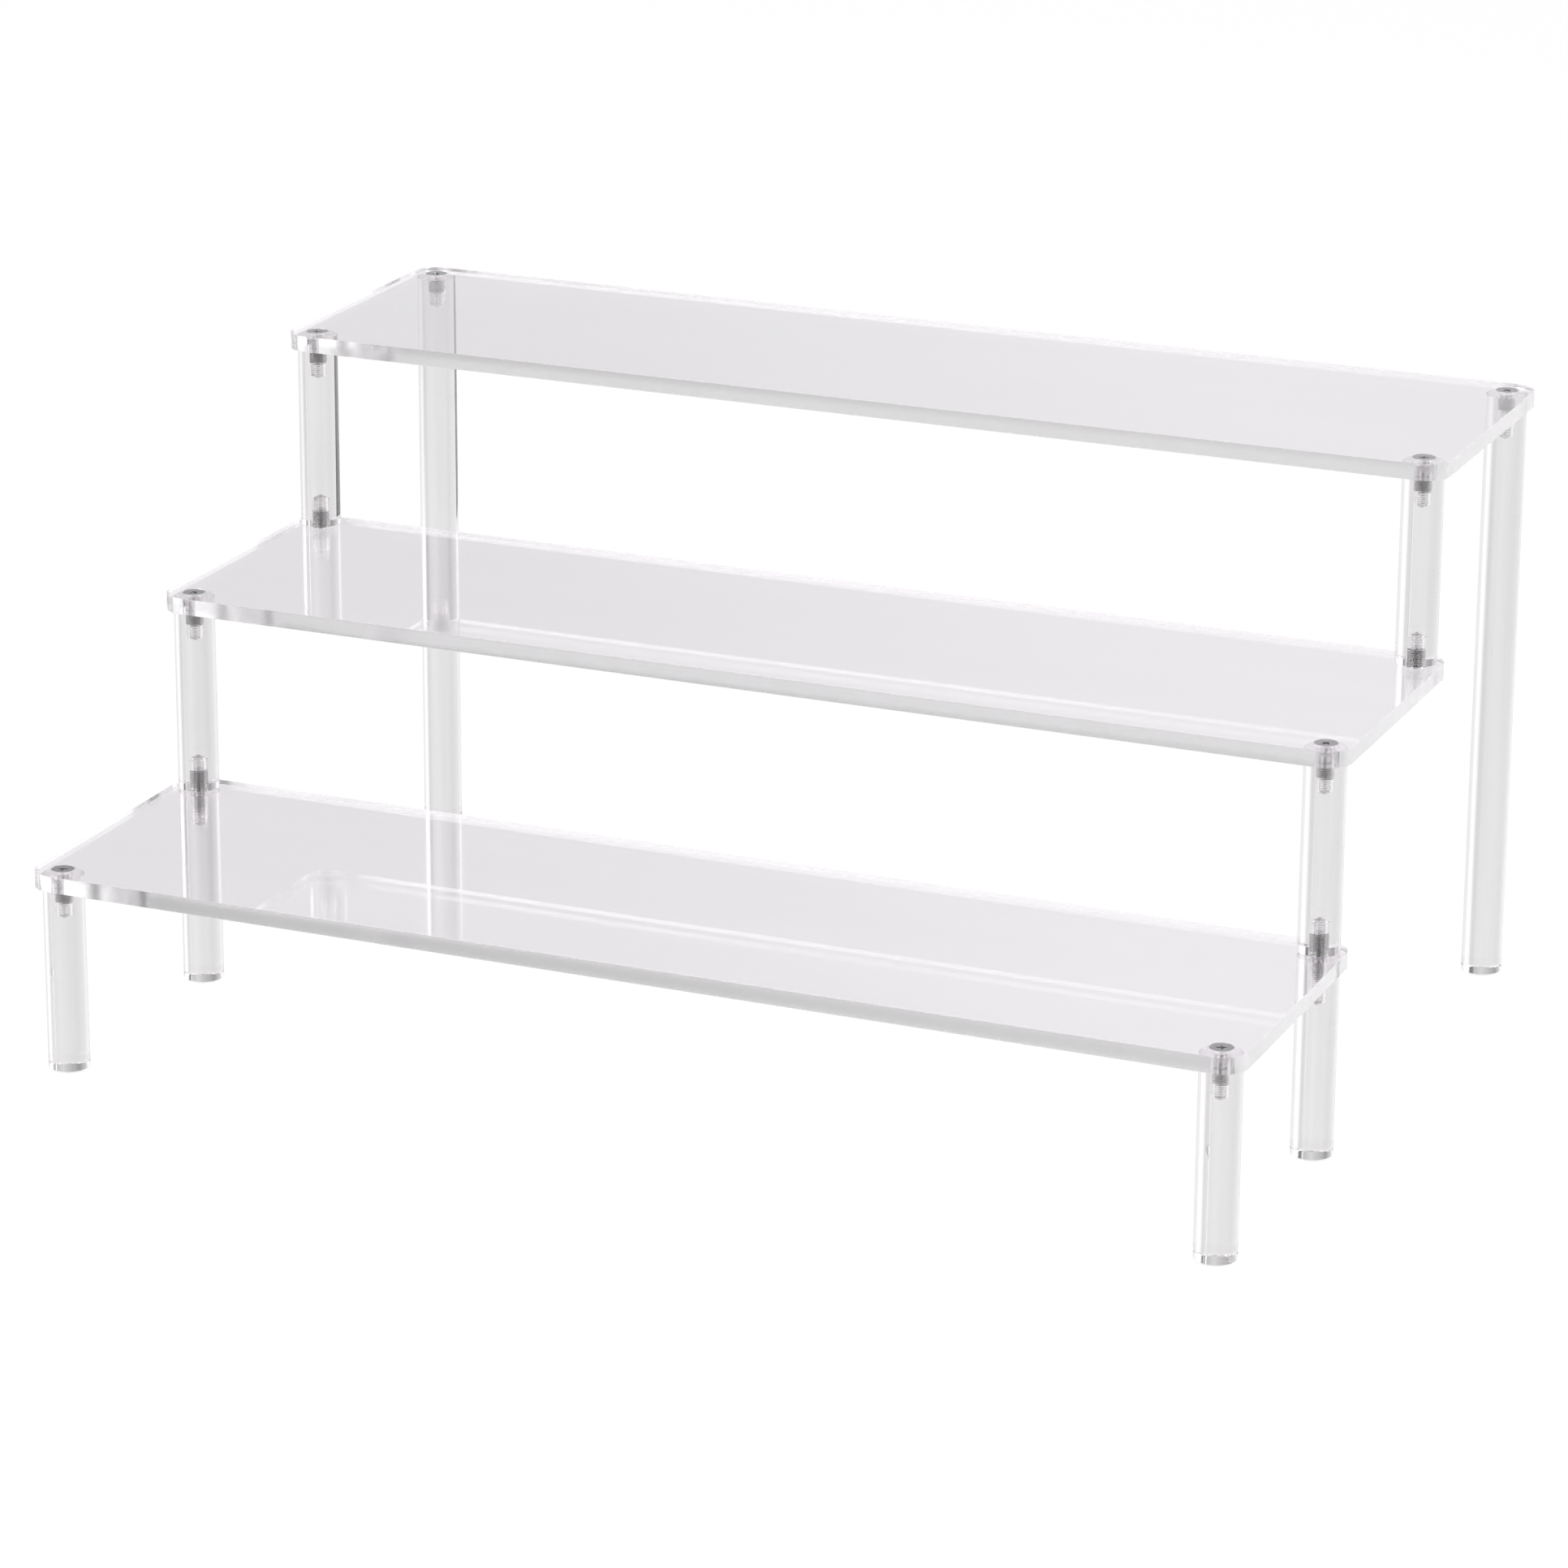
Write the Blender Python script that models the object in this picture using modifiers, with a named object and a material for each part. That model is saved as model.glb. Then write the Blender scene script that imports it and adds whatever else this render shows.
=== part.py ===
"""Three-step clear acrylic display riser, built as it is put together from its flat pack.

Three acrylic shelves stand on ten round acrylic rods. Each shelf lies on four rods or on the
rods that it shares with its neighbour, one at each corner. Steel screws and studs hold them.

Metres, +Z up. The front faces -Y, the steps rise towards +Y, and the origin is on the table,
under the middle of the riser. Left and right are as seen from the front.
"""

import math

import bmesh
import bpy

# Steps and shelves
SHELF_COUNT = 3
STEP_HEIGHT = 0.050
SHELF_WIDTH = 0.303
SHELF_DEPTH = 0.0805
SHELF_THICKNESS = 0.004
SHELF_CORNER_RADIUS = 0.006
SHELF_EDGE_ROUND = 0.0004
HOLE_TO_EDGE = 0.0065

# Rods
ROD_DIAMETER = 0.010
ROD_END_CHAMFER = 0.0005

# Countersunk screws and double-ended studs
SCREW_DIAMETER = 0.003
SCREW_LENGTH = 0.008
HEAD_OVERHANG = 0.00125
HEAD_RIM_HEIGHT = 0.00025
HEAD_BELOW_SURFACE = 0.0001
HEAD_HALF_ANGLE = math.radians(45)
THREAD_END_CHAMFER = 0.0004
RECESS_SPAN = 0.0030
RECESS_WING_WIDTH = 0.0006
RECESS_DEPTH = 0.0012
RECESS_FLOOR_SHARE = 0.45
STUD_GRIP = 0.005

# Fits
SEAT_GAP = 0.0003
HOLE_CLEARANCE = 0.0003
HOLE_END_ROOM = 0.003
DRILL_POINT_HALF_ANGLE = math.radians(59)
CUT_OVERRUN = 0.001

# Roundness of the meshes
ROD_SIDES = 32
FASTENER_SIDES = 20
CORNER_SEGMENTS = 6
EDGE_SEGMENTS = 2
SHARP_ANGLE = math.radians(30)
FLAT_ANGLE = math.radians(0.5)
MERGE_DISTANCE = 0.00001

# Sizes worked out from the ones above
HOLE_SPACING = SHELF_WIDTH - 2 * HOLE_TO_EDGE
ROW_SPACING = SHELF_DEPTH - 2 * HOLE_TO_EDGE
ROD_RADIUS = ROD_DIAMETER / 2
SCREW_RADIUS = SCREW_DIAMETER / 2
HEAD_RADIUS = SCREW_RADIUS + HEAD_OVERHANG
HOLE_RADIUS = SCREW_RADIUS + HOLE_CLEARANCE
SINK_RADIUS = HEAD_RADIUS + HOLE_CLEARANCE
SCREW_REACH = SCREW_LENGTH + HEAD_BELOW_SURFACE - SHELF_THICKNESS - SEAT_GAP
STUD_REACH = STUD_GRIP - SEAT_GAP
STUD_LENGTH = SHELF_THICKNESS + 2 * STUD_GRIP
POST_LENGTH = STEP_HEIGHT - SHELF_THICKNESS - 2 * SEAT_GAP

SIDES = {"left": -1, "right": 1}

# Colour, roughness and metallic value of each kind of piece
SHELF_LOOK = ((0.90, 0.89, 0.91, 1.0), 0.05, 0.0)
ROD_LOOK = ((0.86, 0.86, 0.87, 1.0), 0.05, 0.0)
SCREW_LOOK = ((0.55, 0.55, 0.56, 1.0), 0.28, 1.0)
STUD_LOOK = ((0.48, 0.48, 0.49, 1.0), 0.32, 1.0)


def shelf_top(shelf):
    """Height of a shelf's upper face; the lowest shelf is number 0."""
    return (shelf + 1) * STEP_HEIGHT


def shelf_underside(shelf):
    """Height of a shelf's lower face."""
    return shelf_top(shelf) - SHELF_THICKNESS


def row_y(row):
    """Depth position of a left-right pair of holes; row 0 is at the front."""
    return (row - SHELF_COUNT / 2) * ROW_SPACING


def side_x(side):
    """Sideways position of the left or the right holes."""
    return SIDES[side] * HOLE_SPACING / 2


def clear_scene():
    """Start from an empty file."""
    for obj in list(bpy.data.objects):
        bpy.data.objects.remove(obj, do_unlink=True)


def new_collection(name):
    """A collection of this name in the scene."""
    collection = bpy.data.collections.new(name)
    bpy.context.scene.collection.children.link(collection)
    return collection


def new_material(name, look):
    """A plain material with a colour, a roughness and a metallic value."""
    color, roughness, metallic = look
    material = bpy.data.materials.new(name)
    material.use_nodes = True
    shader = material.node_tree.nodes["Principled BSDF"]
    shader.inputs["Base Color"].default_value = color
    shader.inputs["Roughness"].default_value = roughness
    shader.inputs["Metallic"].default_value = metallic
    return material


def new_object(name, mesh, collection):
    """An object in a collection, at the origin."""
    obj = bpy.data.objects.new(name, mesh)
    collection.objects.link(obj)
    return obj


def turned(name, profile, sides, collection):
    """A solid of revolution about Z from (radius, height) points, listed top to bottom."""
    mesh = bpy.data.meshes.new(name)
    shape = bmesh.new()
    points = [shape.verts.new((radius, 0, height)) for radius, height in profile]
    for upper, lower in zip(points, points[1:]):
        shape.edges.new((upper, lower))
    shape.to_mesh(mesh)
    shape.free()
    obj = new_object(name, mesh, collection)
    turn = obj.modifiers.new("Turn", "SCREW")
    turn.axis = "Z"
    turn.steps = sides
    turn.render_steps = sides
    turn.use_merge_vertices = True
    turn.merge_threshold = MERGE_DISTANCE
    return obj


def as_cutter(obj):
    """Keep a shape out of the model: it only cuts others."""
    obj.hide_render = True
    obj.display_type = "WIRE"
    return obj


def cut(target, cutter):
    """Cut a shape out of a piece."""
    hole = target.modifiers.new(cutter.name, "BOOLEAN")
    hole.operation = "DIFFERENCE"
    hole.solver = "EXACT"
    hole.object = cutter


def finished_mesh(obj):
    """The piece's mesh with its cuts made, smooth on round faces and sharp at its edges."""
    depsgraph = bpy.context.evaluated_depsgraph_get()
    mesh = bpy.data.meshes.new_from_object(obj.evaluated_get(depsgraph))
    # The slices of each flat face become one face
    shape = bmesh.new()
    shape.from_mesh(mesh)
    bmesh.ops.dissolve_limit(shape, angle_limit=FLAT_ANGLE, verts=shape.verts, edges=shape.edges)
    shape.to_mesh(mesh)
    shape.free()
    mesh.shade_smooth()
    mesh.set_sharp_from_angle(angle=SHARP_ANGLE)
    bpy.data.objects.remove(obj, do_unlink=True)
    return mesh


def place(name, mesh, material, location, collection):
    """Put one piece in its place in the riser."""
    piece = new_object(name, mesh, collection)
    piece.location = location
    if not mesh.materials:
        mesh.materials.append(material)
    return piece


def screw_hole_profile():
    """Clearance hole through a shelf with a countersink that follows the screw's head."""
    slope = math.tan(HEAD_HALF_ANGLE)
    land = HOLE_CLEARANCE * (1 - math.sin(HEAD_HALF_ANGLE)) / math.cos(HEAD_HALF_ANGLE)
    cone_top = -(HEAD_BELOW_SURFACE + HEAD_RIM_HEIGHT + land)
    cone_bottom = cone_top - (SINK_RADIUS - HOLE_RADIUS) / slope
    end = -(SHELF_THICKNESS + CUT_OVERRUN)
    return [(0, CUT_OVERRUN), (SINK_RADIUS, CUT_OVERRUN), (SINK_RADIUS, cone_top),
            (HOLE_RADIUS, cone_bottom), (HOLE_RADIUS, end), (0, end)]


def stud_hole_profile():
    """Plain clearance hole through a shelf."""
    end = -(SHELF_THICKNESS + CUT_OVERRUN)
    return [(0, CUT_OVERRUN), (HOLE_RADIUS, CUT_OVERRUN), (HOLE_RADIUS, end), (0, end)]


def blind_hole_profile(reach):
    """Drilled hole in a rod's end for a thread that reaches this far in."""
    depth = reach + HOLE_END_ROOM
    point = HOLE_RADIUS / math.tan(DRILL_POINT_HALF_ANGLE)
    return [(0, CUT_OVERRUN), (HOLE_RADIUS, CUT_OVERRUN), (HOLE_RADIUS, -depth),
            (0, -depth - point)]


def rod_mesh(name, length, top_reach, foot_reach, cutters, workbench):
    """A rod standing on the origin, drilled for the threads that enter its ends."""
    inner = ROD_RADIUS - ROD_END_CHAMFER
    profile = [(0, length), (inner, length), (ROD_RADIUS, length - ROD_END_CHAMFER),
               (ROD_RADIUS, ROD_END_CHAMFER), (inner, 0), (0, 0)]
    rod = turned(name, profile, ROD_SIDES, workbench)
    top_hole = blind_hole_profile(top_reach)
    drill = as_cutter(turned(f"{name}_top_drill", top_hole, FASTENER_SIDES, cutters))
    drill.location.z = length
    cut(rod, drill)
    if foot_reach:
        foot_hole = blind_hole_profile(foot_reach)
        drill = as_cutter(turned(f"{name}_foot_drill", foot_hole, FASTENER_SIDES, cutters))
        drill.rotation_euler.x = math.pi
        cut(rod, drill)
    return finished_mesh(rod)


def recess_wing(name, angle, cutters):
    """One wing of the driver recess, a slot that narrows to its floor."""
    mesh = bpy.data.meshes.new(name)
    shape = bmesh.new()
    bmesh.ops.create_cube(shape, size=1)
    height = RECESS_DEPTH + CUT_OVERRUN
    bmesh.ops.scale(shape, vec=(RECESS_SPAN, RECESS_WING_WIDTH, height), verts=shape.verts)
    bmesh.ops.translate(shape, vec=(0, 0, CUT_OVERRUN - height / 2), verts=shape.verts)
    floor = [vert for vert in shape.verts if vert.co.z < 0]
    bmesh.ops.scale(shape, vec=(RECESS_FLOOR_SHARE, 1, 1), verts=floor)
    shape.to_mesh(mesh)
    shape.free()
    wing = as_cutter(new_object(name, mesh, cutters))
    wing.rotation_euler.z = angle
    return wing


def screw_mesh(cutters, workbench):
    """Countersunk screw, its head's top at the origin and its thread pointing down."""
    cone_height = HEAD_OVERHANG / math.tan(HEAD_HALF_ANGLE)
    profile = [(0, 0), (HEAD_RADIUS, 0), (HEAD_RADIUS, -HEAD_RIM_HEIGHT),
               (SCREW_RADIUS, -HEAD_RIM_HEIGHT - cone_height),
               (SCREW_RADIUS, THREAD_END_CHAMFER - SCREW_LENGTH),
               (SCREW_RADIUS - THREAD_END_CHAMFER, -SCREW_LENGTH), (0, -SCREW_LENGTH)]
    screw = turned("countersunk_screw", profile, FASTENER_SIDES, workbench)
    cut(screw, recess_wing("recess_wing_across", 0, cutters))
    cut(screw, recess_wing("recess_wing_along", math.pi / 2, cutters))
    return finished_mesh(screw)


def stud_mesh(workbench):
    """Headless threaded stud, centred on the origin."""
    end = STUD_LENGTH / 2
    inner = SCREW_RADIUS - THREAD_END_CHAMFER
    profile = [(0, end), (inner, end), (SCREW_RADIUS, end - THREAD_END_CHAMFER),
               (SCREW_RADIUS, THREAD_END_CHAMFER - end), (inner, -end), (0, -end)]
    return finished_mesh(turned("threaded_stud", profile, FASTENER_SIDES, workbench))


def shelf_mesh(name, front_hole, rear_hole, rear_from_below, cutters, workbench):
    """A shelf whose upper face is at height 0, with a pair of holes at its front and rear."""
    mesh = bpy.data.meshes.new(name)
    shape = bmesh.new()
    bmesh.ops.create_cube(shape, size=1)
    size = (SHELF_WIDTH, SHELF_DEPTH, SHELF_THICKNESS)
    bmesh.ops.scale(shape, vec=size, verts=shape.verts)
    bmesh.ops.translate(shape, vec=(0, 0, -SHELF_THICKNESS / 2), verts=shape.verts)
    upright = [edge for edge in shape.edges if edge.verts[0].co.z != edge.verts[1].co.z]
    bmesh.ops.bevel(shape, geom=upright, offset=SHELF_CORNER_RADIUS, segments=CORNER_SEGMENTS,
                    affect="EDGES", profile=0.5, offset_type="OFFSET")
    shape.to_mesh(mesh)
    shape.free()
    shelf = new_object(name, mesh, workbench)
    edge = shelf.modifiers.new("Polished edge", "BEVEL")
    edge.limit_method = "ANGLE"
    edge.angle_limit = SHARP_ANGLE
    edge.width = SHELF_EDGE_ROUND
    edge.segments = EDGE_SEGMENTS
    for side in SIDES:
        for row, profile in (("front", front_hole), ("rear", rear_hole)):
            hole_name = f"{name}_{row}_drill_{side}"
            drill = as_cutter(turned(hole_name, profile, FASTENER_SIDES, cutters))
            toward = -1 if row == "front" else 1
            drill.location = (side_x(side), toward * ROW_SPACING / 2, 0)
            if row == "rear" and rear_from_below:
                drill.rotation_euler.x = math.pi
                drill.location.z = -SHELF_THICKNESS
            cut(shelf, drill)
    return finished_mesh(shelf)


def add_shelves(cutters, workbench, riser):
    """The three shelves; only their rear holes differ."""
    acrylic = new_material("shelf acrylic", SHELF_LOOK)
    sunk = screw_hole_profile()
    plain = stud_hole_profile()
    kinds = {"lower_shelf": (plain, False), "middle_shelf": (sunk, True),
             "upper_shelf": (sunk, False)}
    for shelf, (name, (rear_hole, from_below)) in enumerate(kinds.items()):
        mesh = shelf_mesh(name, sunk, rear_hole, from_below, cutters, workbench)
        middle_y = (row_y(shelf) + row_y(shelf + 1)) / 2
        place(name, mesh, acrylic, (0, middle_y, shelf_top(shelf)), riser)


def add_rods(cutters, workbench, riser):
    """Legs from the table to a shelf, and posts from one shelf to the next."""
    acrylic = new_material("rod acrylic", ROD_LOOK)
    short = shelf_underside(0) - SEAT_GAP
    tall = shelf_underside(2) - SEAT_GAP
    on_lower = shelf_top(0) + SEAT_GAP
    on_middle = shelf_top(1) + SEAT_GAP
    # Name: row, height of its foot, length, reach of the threads in its top and its foot
    rods = {"front_leg": (0, 0, short, SCREW_REACH, 0),
            "middle_leg": (1, 0, short, STUD_REACH, 0),
            "rear_leg": (3, 0, tall, SCREW_REACH, 0),
            "lower_post": (1, on_lower, POST_LENGTH, SCREW_REACH, STUD_REACH),
            "upper_post": (2, on_middle, POST_LENGTH, SCREW_REACH, SCREW_REACH)}
    for name, (row, foot, length, top_reach, foot_reach) in rods.items():
        mesh = rod_mesh(name, length, top_reach, foot_reach, cutters, workbench)
        for side in SIDES:
            location = (side_x(side), row_y(row), foot)
            place(f"{name}_{side}", mesh, acrylic, location, riser)


def add_screws(cutters, workbench, riser):
    """Screws down through the shelves into the rods, and up into the upper posts."""
    steel = new_material("screw steel", SCREW_LOOK)
    mesh = screw_mesh(cutters, workbench)
    # Name: row, height of the shelf face that holds its head, whether it points up
    screws = {"lower_shelf_screw": (0, shelf_top(0), False),
              "middle_shelf_screw": (1, shelf_top(1), False),
              "upper_shelf_front_screw": (2, shelf_top(2), False),
              "upper_shelf_rear_screw": (3, shelf_top(2), False),
              "upper_post_screw": (2, shelf_underside(1), True)}
    for name, (row, face, points_up) in screws.items():
        sunk = HEAD_BELOW_SURFACE if points_up else -HEAD_BELOW_SURFACE
        for side in SIDES:
            location = (side_x(side), row_y(row), face + sunk)
            screw = place(f"{name}_{side}", mesh, steel, location, riser)
            screw.rotation_euler.x = math.pi if points_up else 0


def add_studs(workbench, riser):
    """Studs that join each middle leg to the post above it, through the lower shelf."""
    steel = new_material("stud steel", STUD_LOOK)
    mesh = stud_mesh(workbench)
    middle = shelf_top(0) - SHELF_THICKNESS / 2
    for side in SIDES:
        place(f"post_stud_{side}", mesh, steel, (side_x(side), row_y(1), middle), riser)


def main():
    """Build the riser."""
    clear_scene()
    riser = new_collection("acrylic display riser")
    cutters = new_collection("cutters")
    workbench = new_collection("workbench")
    add_shelves(cutters, workbench, riser)
    add_rods(cutters, workbench, riser)
    add_screws(cutters, workbench, riser)
    add_studs(workbench, riser)
    bpy.data.collections.remove(workbench)


if __name__ == "__main__":
    main()
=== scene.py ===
"""Clear acrylic display riser in three steps, finished for a studio picture.

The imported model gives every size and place. The pieces here stand for its solids: polished
sheets with drilled holes, turned rods with tapped ends, and threaded steel screws and studs.
Metres, +Z up, the front faces -Y.
"""

import math

import bmesh
import bpy
from bpy.props import FloatProperty, FloatVectorProperty, IntProperty, PointerProperty
from mathutils import Matrix, Vector


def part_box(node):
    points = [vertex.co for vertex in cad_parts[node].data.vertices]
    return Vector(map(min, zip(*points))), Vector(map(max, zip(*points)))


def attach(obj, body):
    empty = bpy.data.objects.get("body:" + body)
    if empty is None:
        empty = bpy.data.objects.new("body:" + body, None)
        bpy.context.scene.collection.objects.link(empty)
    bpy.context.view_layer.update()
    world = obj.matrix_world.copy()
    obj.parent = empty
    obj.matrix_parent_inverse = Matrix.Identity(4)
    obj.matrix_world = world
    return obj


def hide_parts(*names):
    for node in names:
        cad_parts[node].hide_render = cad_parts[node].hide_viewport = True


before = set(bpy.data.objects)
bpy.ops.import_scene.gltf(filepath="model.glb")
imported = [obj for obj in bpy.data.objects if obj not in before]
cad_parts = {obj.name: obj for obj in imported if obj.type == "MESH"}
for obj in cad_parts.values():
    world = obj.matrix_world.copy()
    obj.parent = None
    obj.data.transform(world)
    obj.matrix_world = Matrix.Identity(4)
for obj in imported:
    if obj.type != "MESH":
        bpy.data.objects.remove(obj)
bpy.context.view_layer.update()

bl_info = {
    "name": "Acrylic display riser",
    "version": (1, 0, 0),
    "blender": (4, 5, 0),
    "location": "3D View > Sidebar > Riser",
    "description": "Finishes a stepped acrylic display riser and sets up its studio",
    "category": "Add Mesh",
}

SIDES = ("left", "right")
SHELVES = ("lower_shelf", "middle_shelf", "upper_shelf")
# Rod: the fastener in its top, and the one in its foot
RODS = {
    "front_leg": ("lower_shelf_screw", None),
    "middle_leg": ("post_stud", None),
    "rear_leg": ("upper_shelf_rear_screw", None),
    "lower_post": ("middle_shelf_screw", "post_stud"),
    "upper_post": ("upper_shelf_front_screw", "upper_post_screw"),
}
SCREWS = ("lower_shelf_screw", "middle_shelf_screw", "upper_shelf_front_screw",
          "upper_shelf_rear_screw", "upper_post_screw")
MERGE_DISTANCE = 1e-7
# How far a cutter reaches past the face that it cuts
OVERRUN = 0.001
# Faces across a rounded edge, and round a shelf's corner
ROUND_STEPS = 4
CORNER_STEPS = 14
# Turns what points down so that it points up
UPSIDE_DOWN = Matrix.Rotation(math.pi, 4, "X")
# Places of a piece's finishes in its list of materials
FACE, LONG_EDGE, LEFT_END, RIGHT_END = range(4)
ROD_SIDE, ROD_END = range(2)
SCREW_HEAD, SCREW_NECK = range(2)
# An edge sharper than this stays crisp, and a face as level as this, or larger than so many
# square metres, stays flat
CRISP_ANGLE = math.radians(30)
LEVEL = 0.9999
LARGE_FACE = 0.0001
# How level a face is that takes the finish of a sheet's face, or that of a rod's sawn end
SHEET_FACE_LEVEL = 0.9
ROD_END_LEVEL = 0.99

# A thread's profile, and the reach that closes its seam; lengths are shares of its pitch
ROOT_FLAT = 0.25
CREST_FLAT = 0.125
FLANK_RISE = (1 - ROOT_FLAT - CREST_FLAT) / 2
FLANK_ANGLE = math.radians(30)
THREAD_SEAM = 0.01
# Pitches that a coil starts below its bottom, and its spare turns, before it is cut level
COIL_START = 1.5
COIL_SPARE = 3
# The chamfer at a thread's tip
TIP_LENGTH = 0.0005
TIP_INSET = 0.0004
HEAD_EDGE_ROUND = 0.00006
# Height of a drill's point, as a share of its radius
DRILL_POINT = 0.6
# A small turn keeps a drill's edges off those of the rod and of the thread
DRILL_TURN = 0.013
# A drill and a screw's core end just inside the thread's root, so that no faces lie on others
INSIDE_ROOT = 0.98
# The recess's floor against its mouth, in a wing's span, in its thickness and in height, and
# the round of its corners against a wing's thickness
RECESS_FLOOR = (0.4, 0.75, 1)
RECESS_ROUND = 0.18
RECESS_ROUND_STEPS = 3
# Every screw stops at a turn of its own
SCREW_TURN = 0.7
FIRST_TURN = {"left": 1.9, "right": 0.4}
# How much rougher than its gloss clear acrylic is in its dull spots, and in its scratches
DULL_SPOTS = 0.02
SCRATCHES = 0.05
# Colour that clear acrylic gives to light on its way inside, and how soon
BODY_TINT = (0.90, 0.89, 0.90)
BODY_DENSITY = 0.9
# Share of the lamps' light that one face of clear acrylic lets through
LAMP_LIGHT_SHARE = 0.96
# The darker patches of screw steel against the lighter ones
PATCH_TONE = 0.75

# The studio's walls: degrees round the riser, 0 behind and 90 at its right, and brightness
WALL_TONES = (
    (-180, 0.5), (-172, 1.3), (-88, 1.3), (-66, 0.6), (-50, 0.35), (-38, 0.5), (-27, 0.62),
    (-18, 0.76), (-3, 0.6), (3, 0.2), (8, 0.2), (13, 1.1), (18, 2.1), (28, 2.1), (33, 1.1),
    (60, 1.1), (85, 1.0), (130, 1.0), (145, 0.3), (170, 0.3), (180, 0.5))
# Sine of the elevation where the walls begin to show over the backdrop, and where they are full
WALL_FOOT = 0.15
WALL_FULL = 0.26
# Brightness of the world's light on what isn't glass or metal
ROOM_TONE = 0.95
FLOOR_SIDES = 96
FLOOR_ROUGHNESS = 0.15
# The dark card on the floor
CARD_PLACE = (-0.667, 0.005, 0.001)
CARD_TURN = math.radians(-13)
CARD_WIDTH = 0.4
CARD_TONE = 0.1
# The camera's sensor in millimetres, and the nearest that it sees in metres
SENSOR_WIDTH = 36
CLIP_START = 0.01
# Light runs a long way inside clear sheet, from face to face
BOUNCES = 128
# Lamp: place, width, share of the lamp power
LAMPS = {
    "main_lamp": ((-0.9, -1.1, 1.5), 0.9, 1.0),
    "fill_lamp": ((1.2, -0.4, 1.2), 0.7, 0.4),
}
LAMP_TARGET = Vector((0, 0, 0.07))


def width_of(node):
    """Width of a CAD node along X."""
    low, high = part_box(node)
    return high.x - low.x


def length_property(name, description, default):
    """A size in metres that shows small lengths in full."""
    return FloatProperty(name=name, description=description, default=default, min=0,
                         unit="LENGTH", subtype="DISTANCE", precision=5)


def colour_property(name, description, default):
    """A colour without alpha."""
    return FloatVectorProperty(name=name, description=description, default=default, size=3,
                               min=0, max=1, subtype="COLOR")


class RiserSizes(bpy.types.PropertyGroup):
    """Sizes of the riser's finer forms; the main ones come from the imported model"""

    rod_diameter: length_property(
        "Rod diameter", "Diameter of the legs and posts", width_of("front_leg_left"))
    rod_end_round: length_property(
        "Rod end round", "Radius of the polished edge at a rod's foot", 0.00035)
    rod_seat_round: length_property(
        "Rod seat round", "Radius of the edge at an end that is clamped to a shelf", 0.00006)
    corner_radius: length_property(
        "Corner radius", "Radius of a shelf's corners, seen from above", 0.006)
    edge_round: length_property(
        "Edge round", "Radius of the polished edges of a shelf", 0.00006)
    screw_diameter: length_property(
        "Screw diameter", "Outer diameter of the threads", width_of("post_stud_left"))
    thread_pitch: length_property(
        "Thread pitch", "Height that a thread climbs in one turn", 0.0005)
    thread_room: length_property(
        "Thread room", "Air between a thread and the tapped acrylic", 0.00004)
    head_diameter: length_property(
        "Head diameter", "Diameter of a countersunk head", width_of("lower_shelf_screw_left"))
    neck_length: length_property(
        "Neck length", "Length of a screw's head and smooth neck, above its thread", 0.0040)
    head_rim: length_property(
        "Head rim", "Height of the upright rim round a screw's head", 0.00022)
    sink_room: length_property(
        "Countersink room", "Air between a head and its countersink", 0.00006)
    shank_room: length_property(
        "Hole room", "Air between a thread and the plain hole in a shelf", 0.00015)
    hole_depth_room: length_property(
        "Depth room", "How much deeper a tapped hole is than the thread in it", 0.0030)
    seat_gap: length_property(
        "Seat gap", "Air between a rod's end and the shelf that it is clamped to", 0.00005)
    recess_span: length_property(
        "Recess span", "Width of the driver recess across its wings", 0.0031)
    recess_wing: length_property(
        "Recess wing", "Thickness of one wing of the driver recess", 0.00062)
    recess_depth: length_property(
        "Recess depth", "Depth of the driver recess", 0.0013)
    rod_sides: IntProperty(
        name="Rod sides", description="Faces round a rod", default=128, min=16)
    thread_sides: IntProperty(
        name="Thread sides", description="Faces in one turn of a thread", default=40, min=12)
    hole_sides: IntProperty(
        name="Hole sides", description="Faces round a hole or a screw's head", default=64, min=12)


class RiserColours(bpy.types.PropertyGroup):
    """Colours and clearness of the riser's materials"""

    sheet_tint: colour_property(
        "Sheet tint", "Colour that clear sheet gives to what is seen through it",
        (0.976, 0.953, 0.982))
    long_edge_tint: colour_property(
        "Long edge tint", "Colour that a shelf's sawn long edges give to what is seen "
        "through them", (0.82, 0.81, 0.82))
    satin_tint: colour_property(
        "Satin tint", "Colour of a shelf's satin end and of what is seen through it",
        (1.0, 0.99, 1.0))
    rod_tint: colour_property(
        "Rod tint", "Colour that clear rod gives to what is seen through it",
        (0.90, 0.89, 0.895))
    # Head steel: the same steel as the neck's, darkened as painted shade, a painted reflection of
    # the dim room above the head
    steel: colour_property(
        "Head steel", "Colour of the top of a screw's head", (0.46, 0.46, 0.46))
    # Neck steel: the same steel, lightened as a painted reflection of the white floor
    neck_steel_painted_reflection: colour_property(
        "Neck steel", "Colour of a screw's smooth neck and the cone under its head",
        (0.88, 0.88, 0.88))
    # Thread steel: the same steel, darkened as painted shade inside the tapped holes
    thread_steel_painted_shade: colour_property(
        "Thread steel", "Colour of the threads, dulled by thread lock", (0.44, 0.44, 0.44))
    bend: FloatProperty(
        name="Refraction", description="Index of refraction of acrylic", default=1.49, min=1)


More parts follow.
